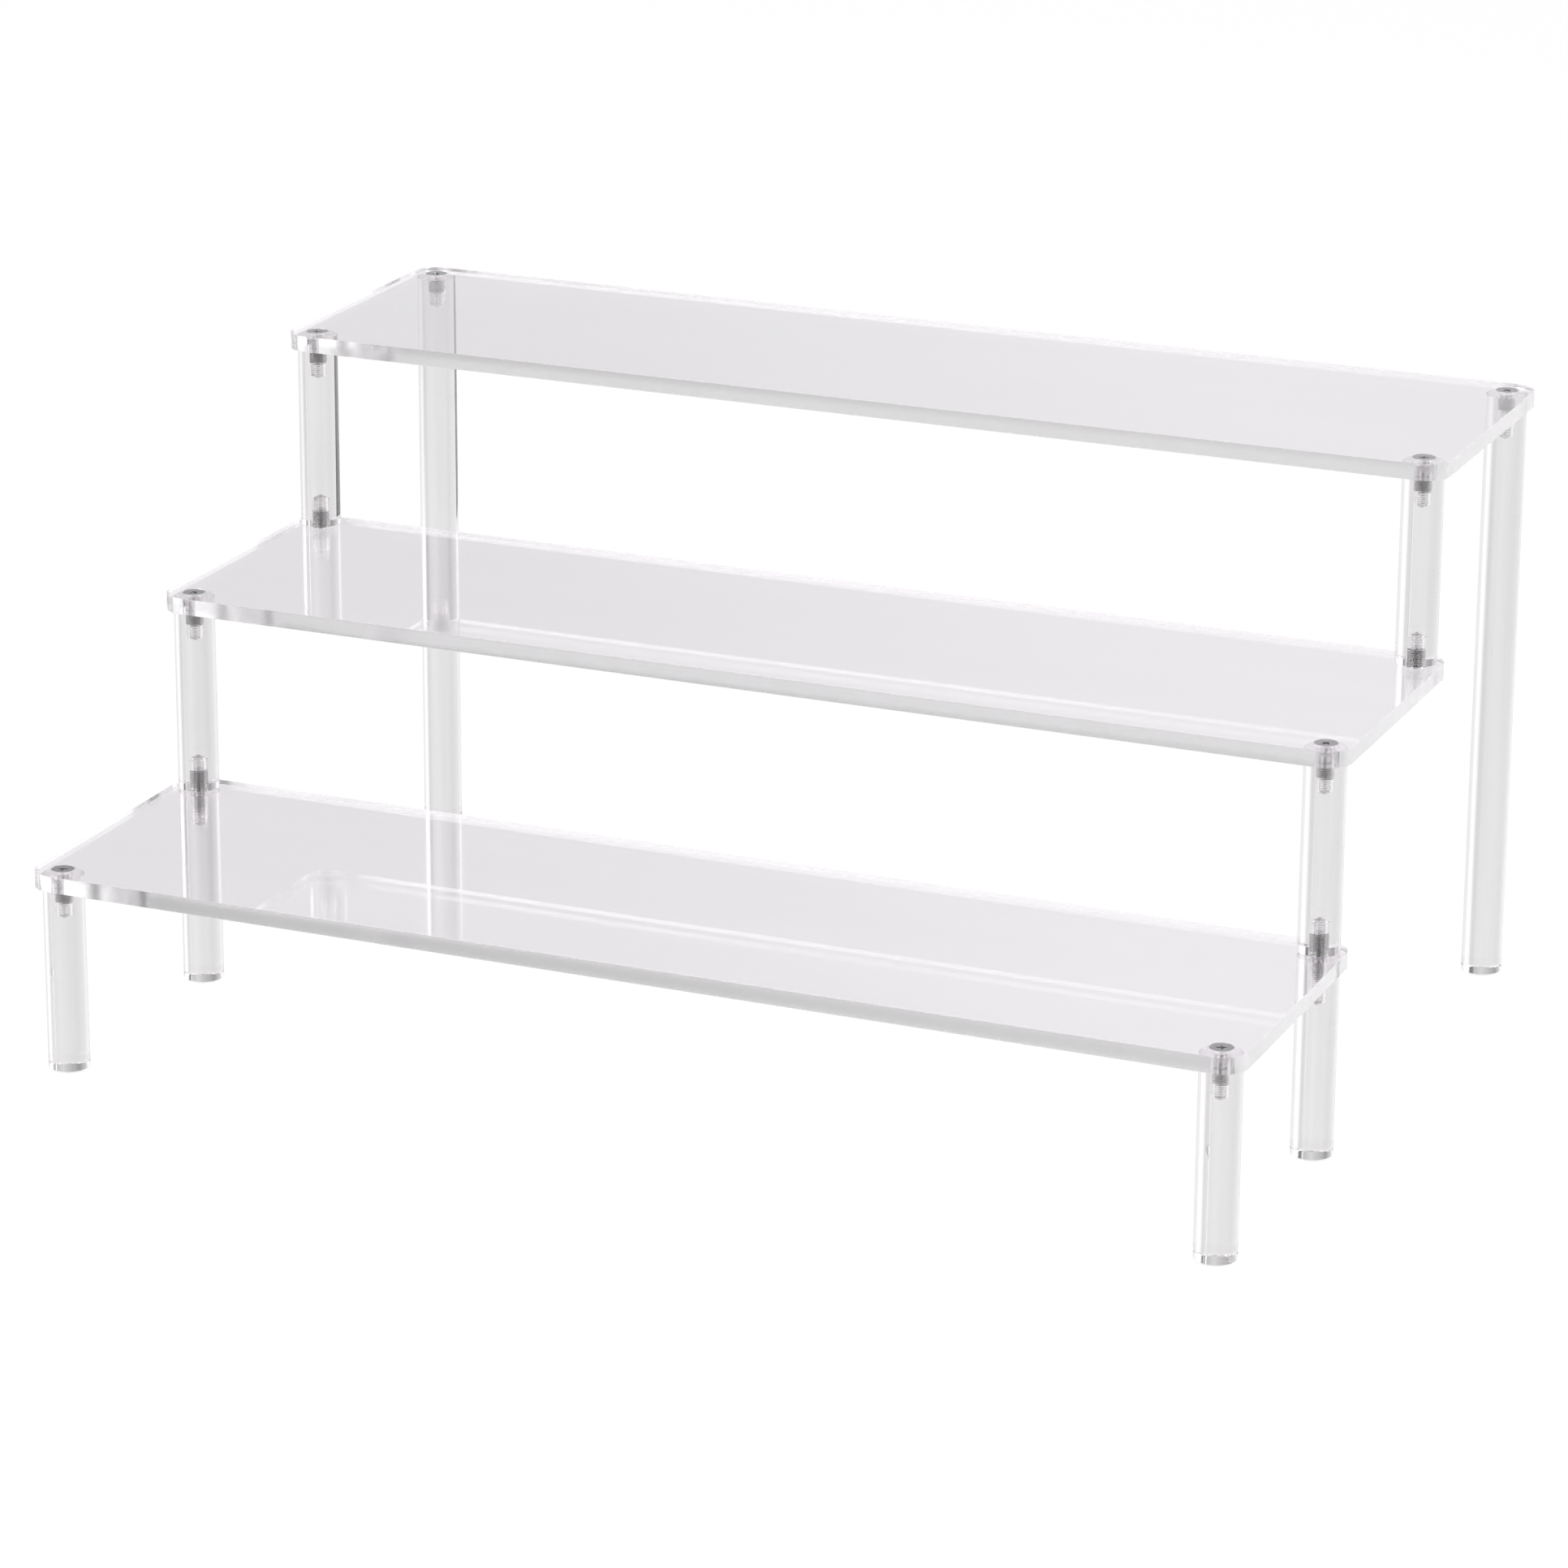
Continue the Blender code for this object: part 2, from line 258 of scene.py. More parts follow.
class RiserStudio(bpy.types.PropertyGroup):
    """Camera, lamps and floor of the studio"""

    azimuth: FloatProperty(
        name="Azimuth", description="Angle of the camera round the riser, 0 in front",
        default=math.radians(23.0), subtype="ANGLE")
    elevation: FloatProperty(
        name="Elevation", description="Angle of the camera above the table",
        default=math.radians(18.49), subtype="ANGLE")
    roll: FloatProperty(
        name="Roll", description="Tilt of the camera about its own view",
        default=math.radians(0.35), subtype="ANGLE")
    distance: length_property(
        "Distance", "Distance of the camera from the point that it turns round", 1.3798)
    shift_right: length_property(
        "Right", "How far to the right of the front row's middle the camera looks", 0.03779)
    shift_up: length_property(
        "Up", "How far above the front row's middle the camera looks", 0.08622)
    lens: FloatProperty(
        name="Lens", description="Focal length in millimetres on a 36 mm sensor",
        default=137.35, min=1)
    floor_radius: length_property(
        "Floor radius", "Radius of the round white floor", 4.0)
    floor_colour: colour_property(
        "Floor", "Colour of the floor", (0.90, 0.90, 0.90))
    floor_drop: length_property(
        "Floor drop", "Air between the floor and the flat feet of the rods", 0.0003)
    floor_sheen: FloatProperty(
        name="Floor sheen", description="How much of the walls the glossy floor mirrors",
        default=0.3, min=0, max=1, subtype="FACTOR")
    shadow_share: FloatProperty(
        name="Shadow share", description="How much of the floor's brightness the lamps give",
        default=0.15, min=0, max=1, subtype="FACTOR")
    lamp_power: FloatProperty(
        name="Lamp power", description="Power of the main lamp in watts", default=14.0, min=0)


def sizes():
    """The riser's sizes as set in the sidebar."""
    return bpy.context.scene.riser_sizes


def colours():
    """The riser's colours as set in the sidebar."""
    return bpy.context.scene.riser_colours


def studio():
    """The studio's settings as set in the sidebar."""
    return bpy.context.scene.riser_studio


# Meshes


def lathe(profile, sides):
    """A solid turned about Z from (radius, height) points that run from axis to axis."""
    shape = bmesh.new()
    points = [shape.verts.new((radius, 0, height)) for radius, height in profile]
    edges = [shape.edges.new(pair) for pair in zip(points, points[1:])]
    bmesh.ops.spin(shape, geom=points + edges, cent=(0, 0, 0), axis=(0, 0, 1),
                   dvec=(0, 0, 0), angle=math.tau, steps=sides, use_merge=True)
    bmesh.ops.remove_doubles(shape, verts=shape.verts, dist=MERGE_DISTANCE)
    bmesh.ops.recalc_face_normals(shape, faces=shape.faces)
    return shape


def quarter_round(radius, height, round_radius, up):
    """Points of a rounded edge from a rod's side to its end face."""
    points = []
    for step in range(ROUND_STEPS + 1):
        angle = math.pi / 2 * step / ROUND_STEPS
        points.append((radius - round_radius * (1 - math.cos(angle)),
                       height + up * round_radius * (math.sin(angle) - 1)))
    return points


def thread_depth(pitch):
    """How much deeper a thread's root lies than its crest."""
    return FLANK_RISE * pitch / math.tan(FLANK_ANGLE)


def thread(outer, pitch, bottom, top, room=0):
    """A closed V-thread about Z between two heights, made wider by some room."""
    crest = outer + room
    root = outer - thread_depth(pitch) + room
    crest_start = ROOT_FLAT + FLANK_RISE
    corners = ((root, 0), (root, ROOT_FLAT), (crest, crest_start),
               (crest, crest_start + CREST_FLAT))
    shape = bmesh.new()
    start = bottom - COIL_START * pitch
    turns = math.ceil((top - bottom) / pitch) + COIL_SPARE
    points = []
    for turn in range(turns):
        base = start + turn * pitch
        for radius, share in corners:
            points.append(shape.verts.new((radius, 0, base + share * pitch)))
    points.append(shape.verts.new((root, 0, start + turns * pitch)))
    edges = [shape.edges.new(pair) for pair in zip(points, points[1:])]
    sides = sizes().thread_sides
    bmesh.ops.spin(shape, geom=points + edges, cent=(0, 0, 0), axis=(0, 0, 1),
                   dvec=(0, 0, pitch / sides), angle=math.tau, steps=sides)
    bmesh.ops.remove_doubles(shape, verts=shape.verts, dist=pitch * THREAD_SEAM)
    for height, outwards in ((bottom, -1), (top, 1)):
        bmesh.ops.bisect_plane(shape, geom=[*shape.verts, *shape.edges, *shape.faces],
                               dist=MERGE_DISTANCE, plane_co=(0, 0, height),
                               plane_no=(0, 0, outwards), clear_outer=True)
    rims = [edge for edge in shape.edges if edge.is_boundary]
    bmesh.ops.holes_fill(shape, edges=rims, sides=0)
    bmesh.ops.recalc_face_normals(shape, faces=shape.faces)
    return shape


def taper(shape, tip):
    """Narrow a thread towards its tip, as the chamfer of a screw's end does."""
    narrowest = sizes().screw_diameter / 2 - TIP_INSET
    for vert in shape.verts:
        reach = abs(vert.co.z - tip)
        if reach < TIP_LENGTH:
            limit = narrowest + TIP_INSET * reach / TIP_LENGTH
            radius = vert.co.xy.length
            if radius > limit:
                vert.co.xy *= limit / radius


def upright_edges(shape):
    """The edges of a shape that run up and down."""
    return [edge for edge in shape.edges
            if abs(edge.verts[0].co.z - edge.verts[1].co.z) > edge.calc_length() / 2]


def bevel(shape, edges, width, steps):
    """Round some edges of a shape."""
    bmesh.ops.bevel(shape, geom=edges, offset=width, segments=steps, profile=0.5,
                    affect="EDGES", offset_type="OFFSET", material=-1)


def add_object(name, data):
    """A new object in the scene."""
    made = bpy.data.objects.new(name, data)
    bpy.context.scene.collection.objects.link(made)
    return made


def solid(name, shape, *materials):
    """An object made from a shape, which is used up."""
    mesh = bpy.data.meshes.new(name)
    shape.to_mesh(mesh)
    shape.free()
    for material in materials:
        mesh.materials.append(material)
    return add_object(name, mesh)


def combine(work, other, operation):
    """Cut another solid out of this one, or weld it on; the other is used up."""
    change = work.modifiers.new(operation, "BOOLEAN")
    change.operation = operation
    change.solver = "EXACT"
    change.material_mode = "TRANSFER"
    change.object = other
    graph = bpy.context.evaluated_depsgraph_get()
    mesh = bpy.data.meshes.new_from_object(work.evaluated_get(graph))
    work.modifiers.clear()
    before = work.data
    work.data = mesh
    bpy.data.meshes.remove(before)
    used = other.data
    bpy.data.objects.remove(other, do_unlink=True)
    bpy.data.meshes.remove(used)
    if not mesh.polygons:
        raise RuntimeError(f"{work.name} came out empty")


def shade(mesh):
    """Round faces smooth and level faces flat, with every real edge kept crisp."""
    mesh.shade_smooth()
    mesh.set_sharp_from_angle(angle=CRISP_ANGLE)
    for face in mesh.polygons:
        if abs(face.normal.z) > LEVEL or face.area > LARGE_FACE:
            face.use_smooth = False


def taken(work):
    """The finished mesh of a working object, which is used up."""
    mesh = work.data
    bpy.data.objects.remove(work, do_unlink=True)
    shade(mesh)
    return mesh


def add_piece(name, mesh, node, place):
    """A finished piece that stands for a CAD node, with its place in its mesh."""
    mesh = mesh.copy()
    mesh.name = name
    local = mesh.attributes.new("maker_place", "FLOAT_VECTOR", "POINT")
    flat = [value for vert in mesh.vertices for value in vert.co]
    local.data.foreach_set("vector", flat)
    mesh.transform(place)
    piece = add_object(name, mesh)
    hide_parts(node)
    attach(piece, "root")


# Materials


def new_material(name):
    """An empty material and its node tree."""
    material = bpy.data.materials.new(name)
    material.use_nodes = True
    material.node_tree.nodes.clear()
    return material, material.node_tree


def add_node(tree, kind, place, values=None, **settings):
    """A node at a place in the tree, with its settings and its input values."""
    node = tree.nodes.new(kind)
    node.location = place
    for name, value in settings.items():
        setattr(node, name, value)
    for name, value in (values or {}).items():
        node.inputs[name].default_value = value
    return node


def link(tree, *pairs):
    """Link each pair of an output and an input."""
    for start, end in pairs:
        tree.links.new(start, end)


def scaled(colour, share=1):
    """A colour made darker or lighter, with the alpha that a socket takes."""
    return (*[min(1, value * share) for value in colour], 1)


def grey(tone):
    """A grey as a socket takes it."""
    return (tone, tone, tone, 1)


def acrylic(name, tint, grain, gloss, wave, cut=0.0, haze=0.0, streaks=0.03):
    """Clear acrylic: a faint tint, slight waves, fine scratches, dull spots, maybe haze.

    grain is how fine the scratches and spots are along X, Y and Z, gloss the least roughness,
    wave the height of the waves in metres, cut how deep the scratches are against them, haze
    the share of light that is scattered, and streaks how far the tint strays up and down.
    """
    material, tree = new_material(name)
    place = add_node(tree, "ShaderNodeTexCoord", (-1500, 0))
    spread = add_node(tree, "ShaderNodeMapping", (-1300, 0))
    spread.inputs["Scale"].default_value = grain
    # The waves are some centimetres long on every piece, and the rest is as fine as its grain
    clouds = add_node(tree, "ShaderNodeTexNoise", (-1080, 260),
                      {"Scale": 1.0, "Detail": 3.0, "Roughness": 0.5})
    waves = add_node(tree, "ShaderNodeTexNoise", (-1080, 0),
                     {"Scale": 26.0, "Detail": 1.0, "Roughness": 0.4})
    scratches = add_node(tree, "ShaderNodeTexNoise", (-1080, -260),
                         {"Scale": 9.0, "Detail": 6.0, "Roughness": 0.7})
    marks = add_node(tree, "ShaderNodeMapRange", (-860, -260),
                     {"From Min": 0.60, "From Max": 0.74, "To Min": 0.0, "To Max": 1.0})
    colour = add_node(tree, "ShaderNodeMix", (-620, 300), data_type="RGBA")
    colour.inputs["A"].default_value = scaled(tint, 1 + streaks)
    colour.inputs["B"].default_value = scaled(tint, 1 - streaks)
    dull = add_node(tree, "ShaderNodeMapRange", (-860, 60),
                    {"From Min": 0.35, "From Max": 0.75, "To Min": gloss,
                     "To Max": gloss + DULL_SPOTS})
    rough = add_node(tree, "ShaderNodeMath", (-620, 60), {1: SCRATCHES},
                     operation="MULTIPLY_ADD")
    height = add_node(tree, "ShaderNodeMath", (-620, -160), {1: cut}, operation="MULTIPLY_ADD")
    bump = add_node(tree, "ShaderNodeBump", (-400, -160),
                    {"Strength": 1.0, "Distance": wave})
    clear = add_node(tree, "ShaderNodeBsdfPrincipled", (-160, 200),
                     {"Transmission Weight": 1 - haze, "IOR": colours().bend,
                      "Metallic": 0.0})
    lamp_light = add_node(tree, "ShaderNodeBsdfTransparent", (-160, -480))
    lamp_light.inputs["Color"].default_value = scaled(tint, LAMP_LIGHT_SHARE)
    rays = add_node(tree, "ShaderNodeLightPath", (-160, 560))
    mixed = add_node(tree, "ShaderNodeMixShader", (120, 200))
    inside = add_node(tree, "ShaderNodeVolumeAbsorption", (120, -120),
                      {"Color": scaled(BODY_TINT), "Density": BODY_DENSITY})
    end = add_node(tree, "ShaderNodeOutputMaterial", (360, 200))
    link(tree,
         (place.outputs["Object"], spread.inputs["Vector"]),
         (spread.outputs["Vector"], clouds.inputs["Vector"]),
         (place.outputs["Object"], waves.inputs["Vector"]),
         (spread.outputs["Vector"], scratches.inputs["Vector"]),
         (scratches.outputs["Fac"], marks.inputs["Value"]),
         (clouds.outputs["Fac"], colour.inputs["Factor"]),
         (clouds.outputs["Fac"], dull.inputs["Value"]),
         (marks.outputs["Result"], rough.inputs[0]),
         (dull.outputs["Result"], rough.inputs[2]),
         (scratches.outputs["Fac"], height.inputs[0]),
         (waves.outputs["Fac"], height.inputs[2]),
         (height.outputs["Value"], bump.inputs["Height"]),
         (colour.outputs["Result"], clear.inputs["Base Color"]),
         (rough.outputs["Value"], clear.inputs["Roughness"]),
         (bump.outputs["Normal"], clear.inputs["Normal"]),
         (rays.outputs["Is Shadow Ray"], mixed.inputs["Fac"]),
         (clear.outputs["BSDF"], mixed.inputs[1]),
         (lamp_light.outputs["BSDF"], mixed.inputs[2]),
         (mixed.outputs["Shader"], end.inputs["Surface"]),
         (inside.outputs["Volume"], end.inputs["Volume"]))
    return material


def steel(name, tone):
    """Zinc-plated screw steel of one tone, with turned rings and small dull patches."""
    material, tree = new_material(name)
    place = add_node(tree, "ShaderNodeAttribute", (-1300, 0), attribute_name="maker_place")
    patches = add_node(tree, "ShaderNodeTexNoise", (-1060, 240),
                       {"Scale": 900.0, "Detail": 4.0, "Roughness": 0.6})
    rings = add_node(tree, "ShaderNodeTexWave", (-1060, -80),
                     {"Scale": 2600.0, "Distortion": 1.2, "Detail": 2.0},
                     wave_type="RINGS", rings_direction="Z")
    colour = add_node(tree, "ShaderNodeMix", (-760, 300), data_type="RGBA")
    colour.inputs["A"].default_value = scaled(tone)
    colour.inputs["B"].default_value = scaled(tone, PATCH_TONE)
    dull = add_node(tree, "ShaderNodeMapRange", (-760, 40),
                    {"From Min": 0.3, "From Max": 0.75, "To Min": 0.12, "To Max": 0.28})
    bump = add_node(tree, "ShaderNodeBump", (-760, -200),
                    {"Strength": 0.6, "Distance": 0.000004})
    metal = add_node(tree, "ShaderNodeBsdfPrincipled", (-440, 200), {"Metallic": 1.0})
    end = add_node(tree, "ShaderNodeOutputMaterial", (-120, 200))
    link(tree,
         (place.outputs["Vector"], patches.inputs["Vector"]),
         (place.outputs["Vector"], rings.inputs["Vector"]),
         (patches.outputs["Fac"], colour.inputs["Factor"]),
         (patches.outputs["Fac"], dull.inputs["Value"]),
         (rings.outputs["Fac"], bump.inputs["Height"]),
         (colour.outputs["Result"], metal.inputs["Base Color"]),
         (dull.outputs["Result"], metal.inputs["Roughness"]),
         (bump.outputs["Normal"], metal.inputs["Normal"]),
         (metal.outputs["BSDF"], end.inputs["Surface"]))
    return material


# Pieces


def screw_place(node):
    """Where a screw's head is, and whether the screw points up."""
    low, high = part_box(node)
    middle = (low + high) / 2
    points_up = node.startswith("upper_post_screw")
    return Vector((middle.x, middle.y, low.z if points_up else high.z)), points_up


class RISER_OT_shelves(bpy.types.Operator):
    """Make the three clear shelves with their rounded corners and countersunk holes"""

    bl_idname = "riser.shelves"
    bl_label = "Shelves"

    def execute(self, context):
        tint = colours().sheet_tint
        faces = acrylic("shelf face", tint, grain=(14, 60, 60), gloss=0.01, wave=0.000004,
                        streaks=0.02)
        sawn = acrylic("shelf sawn long edge", colours().long_edge_tint, grain=(220, 220, 12),
                       gloss=0.17, wave=0.000004, cut=0.3)
        polished = acrylic("shelf polished end", tint, grain=(220, 220, 12), gloss=0.1,
                           wave=0.000004, cut=0.3)
        satin = acrylic("shelf satin end", colours().satin_tint, grain=(220, 220, 12),
                        gloss=0.28, wave=0.000002, cut=0.05, haze=0.3)
        holes = acrylic("shelf drilled hole", tint, grain=(300, 300, 2200), gloss=0.06,
                        wave=0.000006, cut=1.0)
        for node in SHELVES:
            self.make_shelf(node, (faces, sawn, polished, satin), holes)
        return {"FINISHED"}

    def make_shelf(self, node, clear, holes):
        """One shelf, with a hole wherever a screw or a stud goes through it."""
        size = sizes()
        low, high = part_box(node)
        middle = (low + high) / 2
        shape = bmesh.new()
        bmesh.ops.create_cube(shape, size=1)
        bmesh.ops.scale(shape, vec=high - low, verts=shape.verts)
        bevel(shape, upright_edges(shape), size.corner_radius, CORNER_STEPS)
        upright = set(upright_edges(shape))
        rim = [edge for edge in shape.edges
               if edge not in upright and edge.calc_face_angle() > math.pi / 4]
        bevel(shape, rim, size.edge_round, ROUND_STEPS)
        for face in shape.faces:
            along, across, level = face.normal
            if abs(level) > SHEET_FACE_LEVEL:
                face.material_index = FACE
            elif abs(across) > abs(along):
                face.material_index = LONG_EDGE
            else:
                face.material_index = LEFT_END if along < 0 else RIGHT_END
        bmesh.ops.translate(shape, vec=middle, verts=shape.verts)
        work = solid(node + "_work", shape, *clear)
        for fastener in (*SCREWS, "post_stud"):
            for side in SIDES:
                self.drill(work, low, high, f"{fastener}_{side}", holes)
        mesh = taken(work)
        add_piece(node + "_sheet", mesh, node, Matrix.Identity(4))

    def drill(self, work, low, high, fastener, holes):
        """The hole for one fastener, if it goes through this shelf."""
        size = sizes()
        start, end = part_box(fastener)
        centre = (start + end) / 2
        inside = low.y < centre.y < high.y and start.z < (low.z + high.z) / 2 < end.z
        if not inside:
            return
        radius = size.screw_diameter / 2 + size.shank_room
        depth = high.z - low.z + OVERRUN
        if fastener.startswith("post_stud"):
            profile = [(0, OVERRUN), (radius, OVERRUN), (radius, -depth), (0, -depth)]
            place = Matrix.Translation((centre.x, centre.y, high.z))
        else:
            head, points_up = screw_place(fastener)
            face = low.z if points_up else high.z
            sunk = abs(face - head.z)
            wide = size.head_diameter / 2 + size.sink_room
            shoulder = -(sunk + size.head_rim + size.sink_room / 2)
            profile = [(0, OVERRUN), (wide, OVERRUN), (wide, shoulder),
                       (radius, shoulder - (wide - radius)), (radius, -depth), (0, -depth)]
            place = Matrix.Translation((centre.x, centre.y, face))
            if points_up:
                place = place @ UPSIDE_DOWN
        drill = lathe(profile, size.hole_sides)
        bmesh.ops.transform(drill, matrix=place, verts=drill.verts)
        combine(work, solid("drill", drill, holes), "DIFFERENCE")


class RISER_OT_rods(bpy.types.Operator):
    """Make the clear legs and posts with their polished sides and tapped ends"""

    bl_idname = "riser.rods"
    bl_label = "Legs and posts"

    def execute(self, context):
        tint = colours().rod_tint
        side = acrylic("rod side", tint, grain=(420, 420, 9), gloss=0.01, wave=0.000003,
                       cut=0.05, streaks=0.11)
        end = acrylic("rod sawn end", tint, grain=(600, 600, 600), gloss=0.06, wave=0.000004,
                      cut=0.4)
        tapped = acrylic("rod tapped hole", tint, grain=(900, 900, 2500), gloss=0.12,
                         wave=0.000008, cut=1.0)
        for rod, (in_top, in_foot) in RODS.items():
            mesh = self.make_rod(rod, in_top, in_foot, side, end, tapped)
            for which in SIDES:
                low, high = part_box(f"{rod}_{which}")
                middle = (low + high) / 2
                place = Matrix.Translation((middle.x, middle.y, 0))
                add_piece(f"{rod}_rod_{which}", mesh, f"{rod}_{which}", place)
            bpy.data.meshes.remove(mesh)
        return {"FINISHED"}

    def make_rod(self, rod, in_top, in_foot, side, end, tapped):
        """One rod about Z, at its own height, tapped for the fasteners in its ends."""
        size = sizes()
        low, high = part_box(rod + "_left")
        closer = self.gap_to_shelf(high.z) - size.seat_gap
        top = high.z + closer
        foot = low.z - closer if in_foot else low.z
        radius = size.rod_diameter / 2
        seat = size.rod_seat_round
        foot_round = seat if in_foot else size.rod_end_round
        profile = [(0, top)]
        profile += reversed(quarter_round(radius, top, seat, 1))
        profile += [(radius, top - 2 * seat), (radius, foot + 2 * foot_round)]
        profile += quarter_round(radius, foot, foot_round, -1)
        profile += [(0, foot)]
        shape = lathe(profile, size.rod_sides)
        for face in shape.faces:
            level = abs(face.normal.z) > ROD_END_LEVEL
            face.material_index = ROD_END if level else ROD_SIDE
        work = solid(rod + "_work", shape, side, end)
        self.tap(work, in_top, top, -1, tapped)
        if in_foot:
            self.tap(work, in_foot, foot, 1, tapped)
        return taken(work)

    def gap_to_shelf(self, height):
        """Air between a rod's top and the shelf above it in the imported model."""
        undersides = [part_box(node)[0].z for node in SHELVES]
        return min(z - height for z in undersides if z > height)

    def tap(self, work, fastener, mouth, inwards, tapped):
        """Drill and tap the end of a rod for a fastener; inwards is 1 if the hole goes up."""
        size = sizes()
        low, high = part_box(fastener + "_left")
        tip = high.z if inwards > 0 else low.z
        reach = abs(tip - mouth) + size.hole_depth_room
        outer = size.screw_diameter / 2
        root = outer - thread_depth(size.thread_pitch) + size.thread_room
        bore = root * INSIDE_ROOT
        turned = Matrix.Translation((0, 0, mouth))
        if inwards > 0:
            turned = turned @ UPSIDE_DOWN
        drill = lathe([(0, OVERRUN), (bore, OVERRUN), (bore, -reach),
                       (0, -reach - DRILL_POINT * root)], size.hole_sides)
        off_edges = turned @ Matrix.Rotation(DRILL_TURN, 4, "Z")
        bmesh.ops.transform(drill, matrix=off_edges, verts=drill.verts)
        combine(work, solid("drill", drill, tapped), "DIFFERENCE")
        cutter = thread(outer, size.thread_pitch, -reach + size.thread_pitch, OVERRUN,
                        size.thread_room)
        bmesh.ops.transform(cutter, matrix=turned, verts=cutter.verts)
        combine(work, solid("tap", cutter, tapped), "DIFFERENCE")


class RISER_OT_screws(bpy.types.Operator):
    """Make the countersunk screws with their threads and cross recesses"""

    bl_idname = "riser.screws"
    bl_label = "Screws"

    def execute(self, context):
        look = colours()
        # One steel in three tones of painted light: a darker head, a lighter neck and darker
        # threads
        mesh = self.make_screw(steel("screw head steel", look.steel),
                               steel("screw neck steel", look.neck_steel_painted_reflection),
                               steel("screw thread steel", look.thread_steel_painted_shade))
        for number, screw in enumerate(SCREWS):
            for which in SIDES:
                node = f"{screw}_{which}"
                head, points_up = screw_place(node)
                turn = Matrix.Rotation(SCREW_TURN * number + FIRST_TURN[which], 4, "Z")
                place = Matrix.Translation(head)
                if points_up:
                    place = place @ UPSIDE_DOWN
                add_piece(f"{screw}_steel_{which}", mesh, node, place @ turn)
        bpy.data.meshes.remove(mesh)
        return {"FINISHED"}

    def make_screw(self, head, smooth, dulled):
        """One screw, its head's top at the origin and its thread pointing down."""
        size = sizes()
        low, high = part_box("lower_shelf_screw_left")
        length = high.z - low.z
        outer = size.screw_diameter / 2
        wide = size.head_diameter / 2
        core = outer - thread_depth(size.thread_pitch)
        edge = HEAD_EDGE_ROUND
        # The head's top falls to its rim in two small steps, and its cone slopes at 45 degrees
        neck = -size.head_rim - (wide - core)
        below = -size.neck_length - size.thread_pitch
        profile = [(0, 0), (wide - 4 * edge, 0), (wide - edge, -edge / 3), (wide, -edge),
                   (wide, -size.head_rim), (core, neck), (core * INSIDE_ROOT, below), (0, below)]
        shape = lathe(profile, size.hole_sides)
        # Faces under the head's rim take the neck steel, lightened as a painted reflection of the
        # white floor
        for face in shape.faces:
            under_rim = face.calc_center_median().z < -size.head_rim
            face.material_index = SCREW_NECK if under_rim else SCREW_HEAD
        work = solid("screw_work", shape, head, smooth)
        shank = thread(outer, size.thread_pitch, -length, -size.neck_length)
        taper(shank, -length)
        # The thread takes the thread steel, darkened as painted shade
        combine(work, solid("shank", shank, dulled), "UNION")
        for angle in (0, math.pi / 2):
            combine(work, solid("wing", self.wing(angle), head), "DIFFERENCE")
        return taken(work)

    def wing(self, angle):
        """One wing of the driver recess, which narrows and slopes to its floor."""
        size = sizes()
        height = size.recess_depth + OVERRUN
        shape = bmesh.new()
        bmesh.ops.create_cube(shape, size=1)
        bmesh.ops.scale(shape, vec=(size.recess_span, size.recess_wing, height),
                        verts=shape.verts)
        bmesh.ops.translate(shape, vec=(0, 0, OVERRUN - height / 2), verts=shape.verts)
        floor = [vert for vert in shape.verts if vert.co.z < 0]
        bmesh.ops.scale(shape, vec=RECESS_FLOOR, verts=floor)
        bevel(shape, upright_edges(shape), size.recess_wing * RECESS_ROUND, RECESS_ROUND_STEPS)
        bmesh.ops.rotate(shape, cent=(0, 0, 0), matrix=Matrix.Rotation(angle, 3, "Z"),
                         verts=shape.verts)
        return shape


class RISER_OT_studs(bpy.types.Operator):
    """Make the threaded studs that join the middle legs to the posts above them"""

    bl_idname = "riser.studs"
    bl_label = "Studs"

    def execute(self, context):
        size = sizes()
        # The studs take the thread steel, darkened as painted shade
        metal = steel("stud steel", colours().thread_steel_painted_shade)
        low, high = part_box("post_stud_left")
        half = (high.z - low.z) / 2
        outer = size.screw_diameter / 2
        shape = thread(outer, size.thread_pitch, -half, half)
        taper(shape, -half)
        taper(shape, half)
        mesh = taken(solid("stud_work", shape, metal))
        for which in SIDES:
            node = f"post_stud_{which}"
            low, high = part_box(node)
            place = Matrix.Translation((low + high) / 2)
            add_piece(f"post_stud_steel_{which}", mesh, node, place)
        bpy.data.meshes.remove(mesh)
        return {"FINISHED"}


